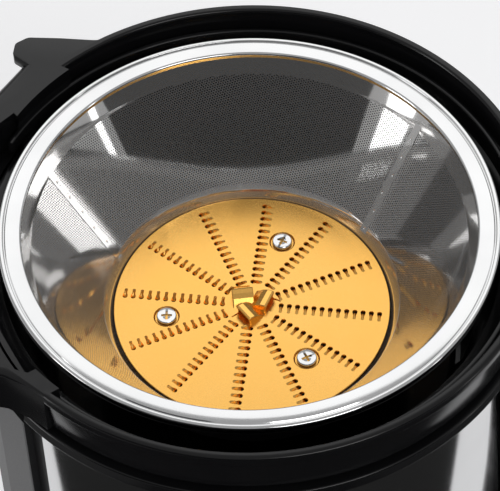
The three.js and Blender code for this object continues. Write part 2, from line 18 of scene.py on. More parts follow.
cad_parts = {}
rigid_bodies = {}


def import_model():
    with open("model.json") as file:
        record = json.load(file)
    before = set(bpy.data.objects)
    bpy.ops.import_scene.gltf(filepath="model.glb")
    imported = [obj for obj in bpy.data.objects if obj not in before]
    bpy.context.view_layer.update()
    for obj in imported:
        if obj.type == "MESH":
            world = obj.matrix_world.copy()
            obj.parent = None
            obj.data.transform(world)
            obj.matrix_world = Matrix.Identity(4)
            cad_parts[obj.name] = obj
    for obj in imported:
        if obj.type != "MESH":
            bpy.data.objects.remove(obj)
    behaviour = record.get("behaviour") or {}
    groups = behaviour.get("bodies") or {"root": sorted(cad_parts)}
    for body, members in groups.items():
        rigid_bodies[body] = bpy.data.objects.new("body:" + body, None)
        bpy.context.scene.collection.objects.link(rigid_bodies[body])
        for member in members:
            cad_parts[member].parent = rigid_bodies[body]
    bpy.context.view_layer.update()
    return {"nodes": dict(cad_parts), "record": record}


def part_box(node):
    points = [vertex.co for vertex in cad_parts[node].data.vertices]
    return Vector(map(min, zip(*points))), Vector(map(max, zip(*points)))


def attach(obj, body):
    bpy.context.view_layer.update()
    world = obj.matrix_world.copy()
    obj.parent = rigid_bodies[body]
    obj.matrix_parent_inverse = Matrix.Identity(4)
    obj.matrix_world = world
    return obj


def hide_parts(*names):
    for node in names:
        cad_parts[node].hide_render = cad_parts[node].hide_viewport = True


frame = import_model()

MM = 0.001
RIM_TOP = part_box("basket_rim")[1][2]
RIM_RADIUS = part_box("basket_rim")[1][0]
LIP_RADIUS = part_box("juice_bowl")[1][0]
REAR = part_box("juice_bowl")[0][0]
print("basket rim", round(RIM_RADIUS / MM, 1), "mm out, ", round(RIM_TOP / MM, 1), "mm up")

# %% [markdown]
# ## The camera
#
# The viewer stands at the juicer's side, a little over half a metre away, and looks down into the basket at
# about fifty degrees. A long lens is used because it keeps the round rim a clean ellipse. The camera is
# placed on a circle round the middle of the rim, turned down to look at it, and rolled a little.

# %% The camera
VIEW_DISTANCE = 9.8 * RIM_RADIUS
VIEW_ELEVATION = math.radians(50.73)
VIEW_DIP = math.radians(0.58)
VIEW_ROLL = math.radians(1.75)
LENS = 178

bpy.ops.object.select_all(action="DESELECT")
camera_data = bpy.data.cameras.new("studio_camera")
camera_data.lens = LENS
camera_data.clip_start = 0.01
camera = bpy.data.objects.new("studio_camera", camera_data)
bpy.context.collection.objects.link(camera)
rim_centre = Vector((0, 0, RIM_TOP))
outward = Vector((0, -math.cos(VIEW_ELEVATION), math.sin(VIEW_ELEVATION)))
stand = Matrix.Translation(rim_centre + VIEW_DISTANCE * outward)
tilt = Matrix.Rotation(math.pi / 2 - VIEW_ELEVATION - VIEW_DIP, 4, "X")
camera.matrix_world = stand @ tilt @ Matrix.Rotation(-VIEW_ROLL, 4, "Z")
bpy.context.scene.camera = camera
print("camera at", [round(v, 3) for v in camera.location])

# %% [markdown]
# ## The studio
#
# Polished steel has hardly a colour of its own: it shows the room. So the room matters as much as the metal.
# It is a white sweep with large soft lamps, and a few dark cards that only the reflections see. The cards
# give the bright steel its dark streaks, as black flags do beside a product table. Each card has its size,
# its place and a faint glow, because some of them are grey. Cards on the bench lie flat, and the others
# face the basket.

# %% The studio
def stage_plane(name, size, place, turn=(0, 0, 0)):
    """A flat sheet of the studio, width by height, turned and then set in its place."""
    bpy.ops.object.select_all(action="DESELECT")
    bpy.ops.mesh.primitive_plane_add(size=1, location=place, rotation=turn)
    sheet = bpy.context.object
    sheet.name = name
    sheet.scale = (size[0], size[1], 1)
    bpy.ops.object.transform_apply(location=True, rotation=True, scale=True)
    return sheet


def plain_material(name, colour, roughness, glow=0.0):
    """A flat finish for the studio's own sheets."""
    material = bpy.data.materials.new(name)
    material.use_nodes = True
    shader = material.node_tree.nodes["Principled BSDF"]
    shader.inputs["Base Color"].default_value = (*colour, 1)
    shader.inputs["Roughness"].default_value = roughness
    shader.inputs["Emission Color"].default_value = (*colour, 1)
    shader.inputs["Emission Strength"].default_value = glow
    return material


FLOOR_SIZE = 6.0
floor = stage_plane("studio_floor", (FLOOR_SIZE, FLOOR_SIZE), (0, 0, 0))
floor.data.materials.append(plain_material("pale floor", (0.86, 0.86, 0.87), 0.6, 0.35))


def soft_lamp(name, size, place, power):
    """A flat soft lamp that faces the basket. Its size and place are in metres, its power in watts."""
    lamp_data = bpy.data.lights.new(name, "AREA")
    lamp_data.shape = "RECTANGLE"
    lamp_data.size, lamp_data.size_y = size
    lamp_data.energy = power
    lamp = bpy.data.objects.new(name, lamp_data)
    bpy.context.collection.objects.link(lamp)
    lamp.location = place
    lamp.rotation_euler = (rim_centre - Vector(place)).to_track_quat("-Z", "Y").to_euler()
    return lamp


soft_lamp("lamp_over_rear", (1.3, 0.9), (0.0, 1.15, 1.25), 3.5)
soft_lamp("lamp_beside_camera", (0.60, 0.42), (0.42, -0.88, 1.10), 3.6)
soft_lamp("lamp_left_side", (0.25, 0.7), (-1.0, -0.30, 0.45), 1.6)
soft_lamp("lamp_right_side", (0.06, 0.5), (1.0, -0.33, 0.45), 0.3)

SKY = 0.46
world = bpy.data.worlds.new("studio_air")
bpy.context.scene.world = world
world.use_nodes = True
air = world.node_tree.nodes["Background"]
air.inputs["Color"].default_value = (1, 1, 1, 1)
seen = world.node_tree.nodes.new("ShaderNodeLightPath")
strength = world.node_tree.nodes.new("ShaderNodeMapRange")
strength.inputs["To Min"].default_value = SKY
strength.inputs["To Max"].default_value = 1.0
world.node_tree.links.new(seen.outputs["Is Camera Ray"], strength.inputs["Value"])
world.node_tree.links.new(strength.outputs["Result"], air.inputs["Strength"])
bpy.context.scene.view_settings.view_transform = "Standard"

DARK_CARDS = {
    "card_below_camera": ((2.9, 0.8), (0.05, -0.80, 0.40), 0),
    "card_left_of_camera": ((0.45, 0.45), (-0.46, -0.62, 0.82), 0.08),
    "card_front": ((0.5, 0.8), (1.2, 0.2, 0.3), 0),
    "card_on_bench": ((0.6, 0.8), (0.0, -0.45, 0.004), 0),
    "card_on_bench_left": ((0.5, 0.9), (-0.52, -0.30, 0.005), 0.22),
    "card_on_bench_right": ((0.5, 0.9), (0.52, -0.30, 0.006), 0.10),
}
for name, (size, place, glow) in DARK_CARDS.items():
    lies_flat = place[2] < 0.01
    facing = (Vector(place) - rim_centre).to_track_quat("Z", "Y").to_euler()
    card = stage_plane(name, size, place, (0, 0, 0) if lies_flat else facing)
    card_finish = plain_material(name, (0.012, 0.012, 0.012), 0.9)
    shader = card_finish.node_tree.nodes["Principled BSDF"]
    shader.inputs["Emission Color"].default_value = (1, 1, 1, 1)
    shader.inputs["Emission Strength"].default_value = glow
    card.data.materials.append(card_finish)
    card.visible_camera = False
    card.visible_shadow = False
    card.visible_diffuse = False
print("floor, lamps and", len(DARK_CARDS), "dark cards are up")

# %% [markdown]
# ## Helpers that model by hand
#
# An operator acts on whatever is selected, so each helper first deselects everything and picks its own
# piece. A turned piece starts as one vertex, which is pushed along the profile and then spun round the
# axis, as a potter or a lathe would form it. A moulded wall starts as its plan and is pulled upwards.

# %% Helpers for modelling
def pick(piece):
    """Makes one piece the only selected and active object."""
    bpy.ops.object.select_all(action="DESELECT")
    piece.select_set(True)
    bpy.context.view_layer.objects.active = piece


@contextmanager
def editing(piece, mode="VERT"):
    """Opens a piece in edit mode with all of it selected."""
    pick(piece)
    bpy.ops.object.mode_set(mode="EDIT")
    bpy.ops.mesh.select_mode(type=mode)
    bpy.ops.mesh.select_all(action="SELECT")
    yield
    bpy.ops.object.mode_set(mode="OBJECT")


def chain(name, points):
    """A chain of edges, made by pushing one vertex from point to point."""
    bpy.ops.object.select_all(action="DESELECT")
    bpy.ops.mesh.primitive_plane_add(size=MM)
    piece = bpy.context.object
    piece.name = name
    with editing(piece):
        bpy.ops.mesh.merge(type="CENTER")
        bpy.ops.transform.translate(value=points[0])
        for here, there in zip(points, points[1:]):
            step = Vector(there) - Vector(here)
            bpy.ops.mesh.extrude_vertices_move(TRANSFORM_OT_translate={"value": step})
    return piece


def tidy_skin(piece, gap=2e-6):
    """Merges doubled vertices and turns all faces outwards."""
    with editing(piece):
        bpy.ops.mesh.remove_doubles(threshold=gap)
        bpy.ops.mesh.normals_make_consistent(inside=False)


def turned(name, profile, steps=144, level=None):
    """A solid of revolution. The profile is a list of radius and height in millimetres, and its
    heights count from the top of the basket rim unless another level is given."""
    level = RIM_TOP if level is None else level
    points = [(r * MM, 0, level + z * MM) for r, z in profile]
    if profile[0][0] > 0:
        points.append(points[0])
    piece = chain(name, points)
    with editing(piece):
        bpy.ops.mesh.spin(steps=steps, angle=math.tau, use_auto_merge=True, center=(0, 0, 0), axis=(0, 0, 1))
    tidy_skin(piece)
    return piece


def pulled(name, outline, low, high, corner=0.0, direction="Z"):
    """A flat outline in millimetres, its corners rounded, pulled from low to high along an axis.
    Along Z the outline is x and y, along Y it is x and z, and along X it is y and z."""
    place = {
        "Z": lambda a, b, c: (a, b, c),
        "Y": lambda a, b, c: (a, c, b),
        "X": lambda a, b, c: (c, a, b),
    }[direction]
    points = [tuple(MM * v for v in place(a, b, low)) for a, b in outline]
    piece = chain(name, points)
    with editing(piece):
        bpy.ops.mesh.edge_face_add()
        if corner:
            bpy.ops.mesh.bevel(affect="VERTICES", offset=corner * MM, segments=4)
        bpy.ops.mesh.select_all(action="SELECT")
        rise = tuple(MM * (high - low) * v for v in place(0, 0, 1))
        bpy.ops.mesh.extrude_region_move(TRANSFORM_OT_translate={"value": rise})
    tidy_skin(piece)
    return piece


def apply_modifier(piece, kind, **settings):
    """Adds a modifier, sets it and makes its result the piece's own mesh."""
    pick(piece)
    modifier = piece.modifiers.new(kind.lower(), kind)
    for name, value in settings.items():
        setattr(modifier, name, value)
    bpy.ops.object.modifier_apply(modifier=modifier.name)


def combine(piece, others, operation):
    """Joins, cuts or trims a piece by others, which are used up."""
    for other in others if isinstance(others, list) else [others]:
        apply_modifier(piece, "BOOLEAN", operation=operation, object=other, solver="EXACT")
        bpy.data.objects.remove(other)
    return piece


def shape(piece, matrix):
    """Turns or moves the mesh itself, so that the object stays at the origin."""
    piece.data.transform(matrix)
    return piece


def copy_of(piece, name):
    """A second piece with a mesh of its own."""
    twin = piece.copy()
    twin.data = piece.data.copy()
    twin.name = name
    bpy.context.collection.objects.link(twin)
    return twin


def joined(pieces, name):
    """Several meshes as one object."""
    bpy.ops.object.select_all(action="DESELECT")
    for piece in pieces:
        piece.select_set(True)
    bpy.context.view_layer.objects.active = pieces[0]
    bpy.ops.object.join()
    pieces[0].name = name
    return pieces[0]


def soften(piece, width=0.25, segments=2, angle=40):
    """Rounds the sharp edges and smooths the shading between them."""
    apply_modifier(piece, "BEVEL", width=width * MM, segments=segments, limit_method="ANGLE",
                   angle_limit=math.radians(angle), use_clamp_overlap=True)
    return smooth(piece)


def smooth(piece, angle=35):
    """Smooth shading that keeps the edges sharper than an angle."""
    pick(piece)
    bpy.ops.object.shade_smooth_by_angle(angle=math.radians(angle))
    return piece


def spun_by(degrees):
    """A turn round the juicer's axis."""
    return Matrix.Rotation(math.radians(degrees), 4, "Z")


def at_rim(piece):
    """Lifts a piece whose heights count from the top of the basket rim."""
    return shape(piece, Matrix.Translation((0, 0, RIM_TOP)))


def on_circle(radius, degrees):
    """A point on a circle round the axis, in millimetres."""
    angle = math.radians(degrees)
    return radius * math.cos(angle), radius * math.sin(angle)


def deliver(piece, material, body, slot, *nodes):
    """Gives a finished piece its material and its body, and hides the nodes it stands for; its record slot is
    not used.
    """
    piece.data.materials.clear()
    piece.data.materials.append(material)
    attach(piece, body)
    if nodes:
        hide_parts(*nodes)
    triangles = sum(len(face.vertices) - 2 for face in piece.data.polygons)
    print(piece.name, "rides on", body, "with", triangles, "triangles")


print("helpers are ready")

# %% [markdown]
# ## Helpers for finishes
#
# A finish is a small graph of shader nodes. Written by hand such graphs are long, so a small class wraps
# an output socket: adding or multiplying two of them adds the Math node that does it. Patterns read the
# object's own coordinates, in metres, so a scale of a thousand means detail of about a millimetre.

# %% A class for shader maths
class Value:
    """An output socket that can be used in sums."""

    def __init__(self, tree, socket):
        self.tree = tree
        self.socket = socket

    def add(self, kind, settings=None, sockets=None, output=0):
        """Adds a node of a kind: first its settings, then the values or links of its sockets."""
        node = self.tree.nodes.new(kind)
        for name, setting in (settings or {}).items():
            setattr(node, name, setting)
        for name, value in (sockets or {}).items():
            if isinstance(value, Value):
                self.tree.links.new(value.socket, node.inputs[name])
            else:
                node.inputs[name].default_value = value
        return Value(self.tree, node.outputs[output])

    def sum_of(self, operation, first, second):
        return self.add("ShaderNodeMath", {"operation": operation}, {0: first, 1: second})

    def __add__(self, other):
        return self.sum_of("ADD", self, other)

    def __radd__(self, other):
        return self.sum_of("ADD", other, self)

    def __sub__(self, other):
        return self.sum_of("SUBTRACT", self, other)

    def __rsub__(self, other):
        return self.sum_of("SUBTRACT", other, self)

    def __mul__(self, other):
        return self.sum_of("MULTIPLY", self, other)

    def __rmul__(self, other):
        return self.sum_of("MULTIPLY", other, self)

    def noise(self, scale, detail=3.0, stretch=(1, 1, 1)):
        """Soft random spots on this position, a number from 0 to 1."""
        place = self.add("ShaderNodeMapping", {}, {"Vector": self, "Scale": stretch})
        return self.add("ShaderNodeTexNoise", {}, {"Vector": place, "Scale": scale, "Detail": detail})

    def between(self, dark, light):
        """This number as a mix of two colours."""
        return self.add("ShaderNodeMix", {"data_type": "RGBA"},
                        {"Factor": self, 6: (*dark, 1), 7: (*light, 1)}, output=2)

    def bump(self, strength, distance):
        """This number as height, in metres, for the Normal socket."""
        return self.add("ShaderNodeBump", {}, {"Height": self, "Strength": strength, "Distance": distance})


def finish(name, make, **constants):
    """A material: constants are set on the shader's own sockets, and make(position) returns what varies."""
    material = bpy.data.materials.new(name)
    material.use_nodes = True
    tree = material.node_tree
    shader = tree.nodes["Principled BSDF"]
    for socket, value in constants.items():
        shader.inputs[socket.replace("_", " ")].default_value = value
    position = Value(tree, tree.nodes.new("ShaderNodeTexCoord").outputs["Object"])
    for socket, value in make(position).items():
        tree.links.new(value.socket, shader.inputs[socket.replace("_", " ")])
    print("finish:", name)
    return material


# %% [markdown]
# ## The metal finishes
#
# Polished sheet keeps faint drawing marks that run round the turned shape, so the noise is squeezed along
# the height and stretched round it. The grating disc has a hard gold-coloured coating with a fine satin
# grain, a little darker and redder where it is thin.

# %% Metal finishes
def round_marks(position, scale):
    """Noise that is drawn out round the axis: it varies with height and distance from the axis only."""
    flat = position.add("ShaderNodeVectorMath", {"operation": "MULTIPLY"}, {0: position, 1: (1, 1, 0)})
    radius = position.add("ShaderNodeVectorMath", {"operation": "LENGTH"}, {0: flat}, output=1)
    height = position.add("ShaderNodeSeparateXYZ", {}, {"Vector": position}, output=2)
    place = position.add("ShaderNodeCombineXYZ", {}, {"X": radius, "Y": height})
    return place.noise(scale, 4.0)


def polished(position):
    marks = round_marks(position, 2600)
    smears = position.noise(38, 3.0)
    return {
        "Base Color": smears.between((0.58, 0.585, 0.59), (0.74, 0.74, 0.74)),
        "Roughness": 0.03 + smears * 0.06 + marks * 0.05,
        "Normal": marks.bump(0.06, 0.00002),
    }


def drawn_sheet(position):
    marks = round_marks(position, 1900)
    smears = position.noise(30, 4.0)
    return {
        "Base Color": smears.between((0.56, 0.56, 0.56), (0.68, 0.67, 0.66)),
        "Roughness": 0.02 + smears * 0.05 + marks * 0.03,
        "Normal": smears.bump(0.05, 0.0002),
    }


def gold_coat(position):
    grain = position.noise(5200, 2.0)
    clouds = position.noise(45, 4.0)
    return {
        "Base Color": clouds.between((0.88, 0.47, 0.10), (0.95, 0.54, 0.15)),
        "Roughness": 0.18 + clouds * 0.06 + grain * 0.10,
        "Normal": grain.bump(0.10, 0.00003),
    }


polished_steel = finish("polished steel", polished, Metallic=1.0)
filter_steel = finish("filter steel", drawn_sheet, Metallic=0.88)
gold_coating = finish("gold coating", gold_coat, Metallic=1.0)

# %% [markdown]
# ## The basket's rim
#
# The rim is a strip of polished steel, rolled over the top of the filter. It has a flat band, a raised
# bead along the outside and a turned-down edge. It is turned from its profile in one go.

# %% The basket's rim
def arc(centre, radius, start, end, steps=6):
    """Points of an arc in a profile, from one angle to another in degrees."""
    spread = [math.radians(start + (end - start) * i / steps) for i in range(steps + 1)]
    return [(centre[0] + radius * math.cos(a), centre[1] + radius * math.sin(a)) for a in spread]


RIM_INNER = RIM_RADIUS / MM - 6.6
RIM_OUTER = RIM_RADIUS / MM
BEAD = 0.75
rim_profile = [
    (RIM_INNER + 0.25, -2.3),
    (RIM_INNER, -1.2),
    *arc((RIM_INNER + 0.75, -0.95), 0.75, 180, 90, 5),
    (RIM_OUTER - 2.2, -0.34),
    (RIM_OUTER - 1.85, -0.62),
    (RIM_OUTER - 1.62, -0.6),
    *arc((RIM_OUTER - BEAD - 0.45, -BEAD * 0.45), BEAD * 0.45, 165, 90, 4),
    *arc((RIM_OUTER - BEAD, -BEAD), BEAD, 90, 0, 6),
    (RIM_OUTER, -2.2),
    (RIM_OUTER - 0.4, -2.4),
    (RIM_OUTER - 0.7, -1.5),
    (RIM_INNER + 1.4, -1.3),
    (RIM_INNER + 1.0, -2.4),
]
rim = smooth(turned("rolled_rim", rim_profile, 240))
deliver(rim, polished_steel, "basket", "polished_steel", "basket_rim")

# %% [markdown]
# ## The filter screen
#
# The filter is stainless sheet, etched with thousands of round holes while it is flat. Three fans are cut
# from it, rolled into a cone, and spot-welded where they overlap. The same is done here. One six-sided
# cell with a hole is modelled, array modifiers spread it over a flat sheet, and the fan is kept and rolled.
# Because the rows were straight on the flat sheet, they run at a slant round the cone, as on a real filter.

# %% The flat sheet
CONE_TOP = (61.0, -6.3)
CONE_FOOT = (42.6, -35.05)
CONE_SLANT = math.dist(CONE_TOP, CONE_FOOT)
CONE_SINE = (CONE_TOP[0] - CONE_FOOT[0]) / CONE_SLANT
CONE_COSINE = (CONE_TOP[1] - CONE_FOOT[1]) / CONE_SLANT
FAN_OUTER = CONE_TOP[0] / CONE_SINE
FAN_INNER = CONE_FOOT[0] / CONE_SINE
SHEETS = 3
SEAM_ANGLE = 158
FAN_HALF = 180 / SHEETS * CONE_SINE
GRAIN_TURN = 9.8
PITCH = 0.78
ROW = PITCH * math.sqrt(3) / 2
HOLE_SHARE = 0.54
SCREEN_THICKNESS = 0.25
MARGIN = 1.0
PLAIN_STRIP = 2.3


def cell(name, holed):
    """One six-sided cell of the sheet, with or without its hole."""
    bpy.ops.object.select_all(action="DESELECT")
    bpy.ops.mesh.primitive_circle_add(vertices=6, radius=PITCH / math.sqrt(3) * MM, fill_type="NGON")
    piece = bpy.context.object
    piece.name = name
    if holed:
        with editing(piece, "FACE"):
            bpy.ops.mesh.inset(thickness=PITCH / 2 * (1 - HOLE_SHARE) * MM)
            bpy.ops.mesh.delete(type="FACE")
    return piece


@contextmanager
def editing_chosen(piece, mode="FACE"):
    """Opens a piece in edit mode with the faces, edges or vertices that were chosen in code."""
    mesh = piece.data
    parts = {"VERT": mesh.vertices, "EDGE": mesh.edges, "FACE": mesh.polygons}
    chosen = np.empty(len(parts[mode]), dtype=bool)
    parts[mode].foreach_get("select", chosen)
    for elements in parts.values():
        elements.foreach_set("select", np.zeros(len(elements), dtype=bool))
    parts[mode].foreach_set("select", chosen)
    pick(piece)
    bpy.context.tool_settings.mesh_select_mode = (mode == "VERT", mode == "EDGE", mode == "FACE")
    bpy.ops.object.mode_set(mode="EDIT")
    yield
    bpy.ops.object.mode_set(mode="OBJECT")


def middles_of(piece, values="center"):
    """The middles, or the normals, of all faces as rows."""
    rows = np.empty(len(piece.data.polygons) * 3)
    piece.data.polygons.foreach_get(values, rows)
    return rows.reshape(-1, 3)


def flat_sheet(name, holed):
    """A field of cells in staggered rows, wide enough for one fan, turned a little against it."""
    piece = cell(name, holed)
    width = 2 * FAN_OUTER * math.sin(math.radians(FAN_HALF + GRAIN_TURN))
    across = math.ceil(width / PITCH)
    near = FAN_INNER * math.cos(math.radians(FAN_HALF + GRAIN_TURN)) - MARGIN
    along = math.ceil((FAN_OUTER + 2 * MARGIN - near) / (2 * ROW))
    shape(piece, Matrix.Translation((-across / 2 * PITCH * MM, near * MM, 0)))
    for count, step in ((2, (PITCH / 2, ROW, 0)), (across, (PITCH, 0, 0)), (along, (0, 2 * ROW, 0))):
        apply_modifier(piece, "ARRAY", count=count, use_relative_offset=False, use_constant_offset=True,
                       constant_offset_displace=Vector(step) * MM)
    return shape(piece, spun_by(GRAIN_TURN))


def keep_cells(piece, per_cell, wanted):
    """Keeps the cells whose middles pass a test of their distance and angle on the fan. The angle is in
    degrees from the fan's middle line, and grows against the clock when the cone is seen from above."""
    middles = middles_of(piece).reshape(-1, per_cell, 3).mean(axis=1) / MM
    distance = np.hypot(middles[:, 0], middles[:, 1])
    swing = np.degrees(np.arctan2(-middles[:, 0], middles[:, 1]))
    keep = wanted(distance, swing) & (np.abs(swing) < FAN_HALF)
    piece.data.polygons.foreach_set("select", np.repeat(~keep, per_cell))
    with editing_chosen(piece):
        bpy.ops.mesh.delete(type="FACE")


def in_holed_part(distance, swing):
    """The etched field: between the plain margins and clear of the plain strip along one side."""
    strip = distance * np.radians(FAN_HALF - swing) < PLAIN_STRIP
    return (distance > FAN_INNER) & (distance < FAN_OUTER) & ~strip


def in_plain_part(distance, swing):
    """The rest of the fan, with a little more at both ends for the bands to cover."""
    inside = (distance > FAN_INNER - MARGIN) & (distance < FAN_OUTER + MARGIN)
    return inside & ~in_holed_part(distance, swing)


holed_sheet = flat_sheet("holed_sheet", True)
keep_cells(holed_sheet, 6, in_holed_part)
print("holes in one fan:", len(holed_sheet.data.polygons) // 6)
plain_sheet = flat_sheet("plain_sheet", False)
keep_cells(plain_sheet, 1, in_plain_part)
sheet = joined([holed_sheet, plain_sheet], "etched_sheet")
with editing(sheet):
    bpy.ops.mesh.remove_doubles(threshold=0.01 * MM)

# %% [markdown]
# Rolling is a change of coordinates: the distance from the fan's point becomes the slant of the cone, and
# the angle on the fan becomes a larger turn round the axis. The rolled sheet is split in two, so that no
# piece gets too large. Each half gets its thickness outwards, and is copied round for the other sheets.

# %% The rolled screen
def rolled(piece, lift=0.0):
    """Rolls a flat fan into the cone. lift and height on the flat sheet move it towards the axis."""
    mesh = piece.data
    flat = np.empty(len(mesh.vertices) * 3)
    mesh.vertices.foreach_get("co", flat)
    x, y, z = flat.reshape(-1, 3).T / MM
    slant = np.hypot(x, y)
    turn = np.arctan2(-x, y) / CONE_SINE + math.radians(SEAM_ANGLE - 180 / SHEETS)
    off = z + lift
    radius = slant * CONE_SINE - off * CONE_COSINE
    height = CONE_TOP[1] - (FAN_OUTER - slant) * CONE_COSINE + off * CONE_SINE
    place = np.column_stack((radius * np.cos(turn), radius * np.sin(turn), height)) * MM
    place[:, 2] += RIM_TOP
    mesh.vertices.foreach_set("co", place.ravel())
    mesh.update()
    return piece


def face_inwards(piece):
    """Turns a rolled sheet's faces towards the axis."""
    towards = -(middles_of(piece)[:, :2] * middles_of(piece, "normal")[:, :2]).sum()
    if towards < 0:
        with editing(piece):
            bpy.ops.mesh.flip_normals()


def split_off(piece, test):
    """Separates the faces that pass a test of their middles, and returns them as a new piece."""
    piece.data.polygons.foreach_set("select", test(middles_of(piece)))
    before = set(bpy.data.objects)
    with editing_chosen(piece):
        bpy.ops.mesh.separate(type="SELECTED")
    return next(other for other in bpy.data.objects if other not in before)


face_inwards(rolled(sheet))
half_turn = math.radians(SEAM_ANGLE - 180 / SHEETS)
other_half = split_off(sheet, lambda at: at[:, 1] * math.cos(half_turn) > at[:, 0] * math.sin(half_turn))
halves = [sheet, other_half]
for half in halves:
    apply_modifier(half, "SOLIDIFY", thickness=SCREEN_THICKNESS * MM, offset=-1)
turns = [360 / SHEETS * number for number in range(SHEETS)]
screens = [shape(copy_of(half, "screen"), spun_by(turn)) for turn in turns for half in halves]
for half in halves:
    bpy.data.objects.remove(half)
for number, screen in enumerate(screens, 1):
    screen.name = f"filter_screen_{number}"
    deliver(screen, filter_steel, "basket", "filter_steel", "filter_cone")

# %% [markdown]
# ## The filter's plain bands and its seams
#
# Above and below the holes the filter is plain, where it is held by the rim and by the moulded floor.
# Neighbouring sheets overlap in a narrow strip, held by one row of spot welds.

# %% Plain bands and seams
top_band = turned("plain_band_top", [
    (RIM_INNER + 0.3, -1.7), (CONE_TOP[0] + 0.62, -5.1), (CONE_TOP[0] + 0.26, -5.8),
    (CONE_TOP[0] + 0.05, -6.2), (CONE_TOP[0] + 0.12, -6.3), (CONE_TOP[0] + 0.9, -5.3),
    (RIM_INNER + 0.8, -1.7),
], 200)
deliver(smooth(top_band), filter_steel, "basket", "filter_steel")
foot_band = turned("plain_band_foot", [
    (CONE_FOOT[0] + 0.03, CONE_FOOT[1] + 0.1), (CONE_FOOT[0] - 0.07, CONE_FOOT[1] - 0.1), (40.33, -38.6),
    (40.3, -41.5), (41.2, -41.5), (41.2, -38.9), (CONE_FOOT[0] + 0.5, CONE_FOOT[1]),
], 200)
deliver(smooth(foot_band), filter_steel, "basket", "filter_steel")

LAP = 2.5
LAP_OVERHANG = 2.2
WELD_RADIUS = 0.5
WELD_STEP = 6.4
FIRST_WELD = 1.4


def seam_lap(number):
    """The overlapping edge of a sheet: a thin strip with a line of spot welds, drawn flat and rolled."""
    length = FAN_OUTER - FAN_INNER + 2 * LAP_OVERHANG
    bpy.ops.object.select_all(action="DESELECT")
    bpy.ops.mesh.primitive_grid_add(x_subdivisions=4, y_subdivisions=40, size=1)
    lap = bpy.context.object
    lap.name = f"seam_lap_{number}"
    shape(lap, Matrix.Diagonal((LAP * MM, length * MM, 1, 1)))
    apply_modifier(lap, "SOLIDIFY", thickness=0.2 * MM, offset=0)
    welds = []
    for row in range(int(length / WELD_STEP) + 1):
        bpy.ops.object.select_all(action="DESELECT")
        bpy.ops.mesh.primitive_uv_sphere_add(segments=12, ring_count=8, radius=WELD_RADIUS * MM)
        dent = shape(bpy.context.object, Matrix.Diagonal((0.8, 1, 0.3, 1)))
        wander = 0.25 * math.sin(2.4 * row)
        along = row * WELD_STEP - length / 2 + FIRST_WELD
        welds.append(shape(dent, Matrix.Translation(Vector((wander, along, 0.12)) * MM)))
    combine(lap, joined(welds, "welds"), "DIFFERENCE")
    middle = (FAN_OUTER + FAN_INNER) / 2
    shape(lap, Matrix.Translation((LAP / 2 * MM, middle * MM, 0)))
    rolled(lap, 0.06)
    shape(lap, spun_by(180 / SHEETS + 360 / SHEETS * number))
    tidy_skin(lap)
    deliver(smooth(lap), filter_steel, "basket", "filter_steel")


for number in range(1, SHEETS + 1):
    seam_lap(number)

# %% [markdown]
# ## The grating disc
#
# The disc shreds the fruit. It is a thin steel plate with rows of pierced teeth like spokes, all pointing
# the way they cut, and a hard gold-coloured coating. One tooth is modelled as a leaning spike, and one
# hollow as a drop-shaped dish behind it. Both are copied along the rows, the hollows are cut from the
# plate together, and the spikes are joined to it.

# %% One tooth and its hollow
DISC_FACE = -38.6
DISC_THICKNESS = 0.9
DISC_RADIUS = 40.0
TOOTH_ROWS = 12
TEETH_PER_ROW = 13
FIRST_TOOTH = 8.5
TOOTH_STEP = 2.38
ROW_START = 81.5
DROP_RADIUS = 0.86
DROP_TIP = 2.5
DROP_BACK = 0.75


def drop_outline(grow=0.0):
    """A drop in plan, its round end behind and its point in front, cutting towards -y."""
    round_end = arc((0, DROP_BACK), DROP_RADIUS + grow, -25, 205, 9)
    return [*round_end, (0, -DROP_TIP - 2 * grow)]


def hollow_cutter():
    """The dish behind a tooth: wide at the plate's face and narrow below."""
    dish = pulled("hollow", drop_outline(), -1.1, 0.4)
    low = min(vertex.co.z for vertex in dish.data.vertices)
    for vertex in dish.data.vertices:
        vertex.select = vertex.co.z < low + 0.01 * MM
    with editing_chosen(dish, "VERT"):
        bpy.ops.transform.resize(value=(0.55, 0.55, 1), center_override=(0, DROP_BACK * MM, 0))
    return dish


def spike():
    """A leaning six-sided spike, drawn out to a long point in front."""
    bpy.ops.object.select_all(action="DESELECT")
    bpy.ops.mesh.primitive_cone_add(vertices=8, radius1=0.74 * MM, depth=1.5 * MM, location=(0, 0, 0.1 * MM))
    piece = bpy.context.object
    bpy.ops.object.transform_apply(location=True)
    for vertex in piece.data.vertices:
        if vertex.co.z > 0.5 * MM:
            vertex.co.y -= 0.35 * MM
        elif vertex.co.y < -0.5 * MM:
            vertex.co.y -= 1.5 * MM
            vertex.co.z += 0.55 * MM
    piece.data.update()
    return piece


def along_rows(pattern, name):
    """Copies of a pattern at every tooth's place, as one mesh."""
    copies = []
    for row in range(TOOTH_ROWS):
        angle = ROW_START + row * 360 / TOOTH_ROWS
        for number in range(TEETH_PER_ROW):
            twin = copy_of(pattern, name)
            out = FIRST_TOOTH + number * TOOTH_STEP
            place = Matrix.Translation((out * MM, 0, RIM_TOP + DISC_FACE * MM))
            copies.append(shape(twin, spun_by(angle) @ place))
    bpy.data.objects.remove(pattern)
    return joined(copies, name)


# %% The disc
SCREW_CIRCLE = 24.9
SCREW_ANGLES = (67.5, 187.5, 307.5)
CUTTER_ANGLES = (95, 215, 335)


def plate(name, radius, low, high, sides=200):
    """A round plate with many-sided flat faces, its heights in millimetres from the rim."""
    bpy.ops.object.select_all(action="DESELECT")
    middle = RIM_TOP + (low + high) / 2 * MM
    bpy.ops.mesh.primitive_cylinder_add(vertices=sides, radius=radius * MM, depth=(high - low) * MM,
                                        location=(0, 0, middle))
    piece = bpy.context.object
    piece.name = name
    bpy.ops.object.transform_apply(location=True)
    return piece


